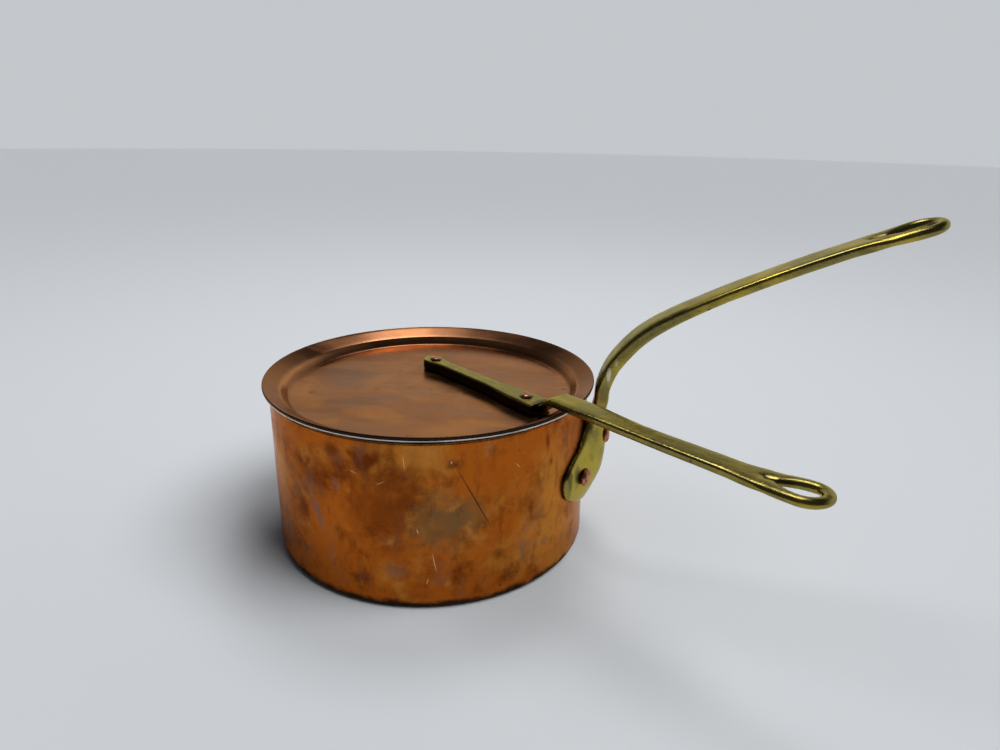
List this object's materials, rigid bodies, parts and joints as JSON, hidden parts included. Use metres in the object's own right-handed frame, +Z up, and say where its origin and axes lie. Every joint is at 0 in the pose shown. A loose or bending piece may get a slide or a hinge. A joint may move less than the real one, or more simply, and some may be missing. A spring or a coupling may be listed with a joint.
{
  "type": "lidded saucepan",
  "caption": "Straight-sided copper saucepan lined with tin, with a riveted long brass handle and a lift-off dished lid that has its own long brass handle.",
  "frame": {"origin": "centre of the pan's flat base, on the surface it stands on", "axes": "+X along the pan handle seen from above, +Z up, +Y to the left of the handle"},
  "size_m": [0.3527, 0.2271, 0.1925],
  "materials": {
    "pan_copper": "aged satin copper, mottled orange-brown",
    "lid_copper": "aged satin copper, brown",
    "handle_brass": "hand-worn olive brass",
    "rivet_copper": "polished domed copper",
    "tin_lining": "dull wiped tin"
  },
  "bodies": {
    "pan": {"pan_shell": "pan_copper", "pan_tin_lining": "tin_lining", "pan_handle": "handle_brass", "pan_handle_rivet_top": "rivet_copper", "pan_handle_rivet_left": "rivet_copper", "pan_handle_rivet_right": "rivet_copper"},
    "lid": {"lid_disc": "lid_copper", "lid_tin_lining": "tin_lining", "lid_handle": "handle_brass", "lid_rivet_inner": "rivet_copper", "lid_rivet_outer": "rivet_copper"}
  },
  "joints": [
    {"name": "lid_lift", "type": "slide", "parent": "pan", "child": "lid", "axis": [0, 0, 1], "range_m": [0, 0.12]}
  ]
}
